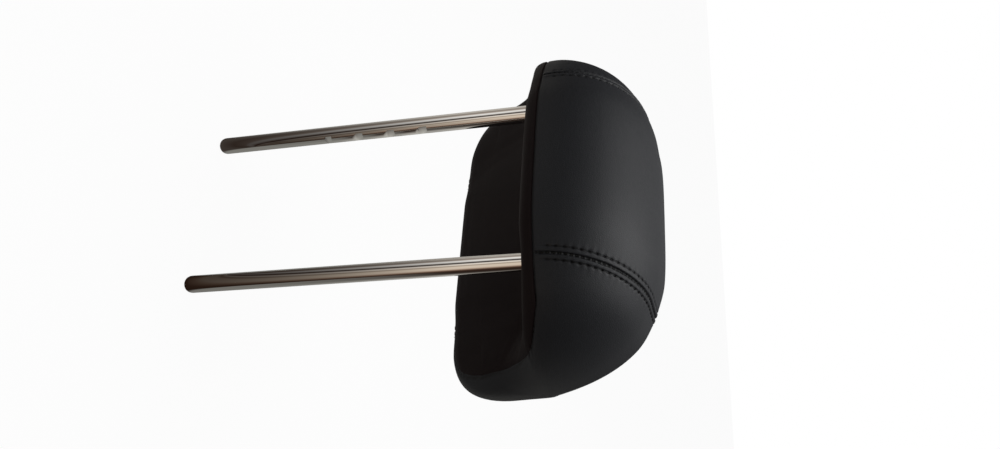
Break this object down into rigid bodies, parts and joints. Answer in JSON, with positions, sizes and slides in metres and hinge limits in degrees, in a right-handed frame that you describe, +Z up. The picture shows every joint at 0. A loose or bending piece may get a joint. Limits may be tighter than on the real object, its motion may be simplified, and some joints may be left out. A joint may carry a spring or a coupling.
{
  "type": "car headrest",
  "caption": "Comma-shaped leather car headrest on a bent chromed rod, with a lip that hangs in front of the seat back and lock notches in one post.",
  "frame": {"origin": "midway between the two posts, on their axes, level with the underside of the cushion", "axes": "+Z up along the posts, -Y towards the head, +X towards the notched post"},
  "size_m": [0.24, 0.1344, 0.324],
  "materials": {
    "chromed_rod": "polished chrome plate on steel",
    "foam": "moulded polyurethane foam with a closed skin",
    "leather": "fine-grained black leather, satin",
    "underside_leather": "smooth brown-black cover material, matte"
  },
  "bodies": {
    "root": {"post_rod": "chromed_rod", "foam_core": "foam", "centre_panel": "leather", "side_panel_left": "leather", "side_panel_right": "leather", "underside_panel": "underside_leather"}
  },
  "joints": []
}
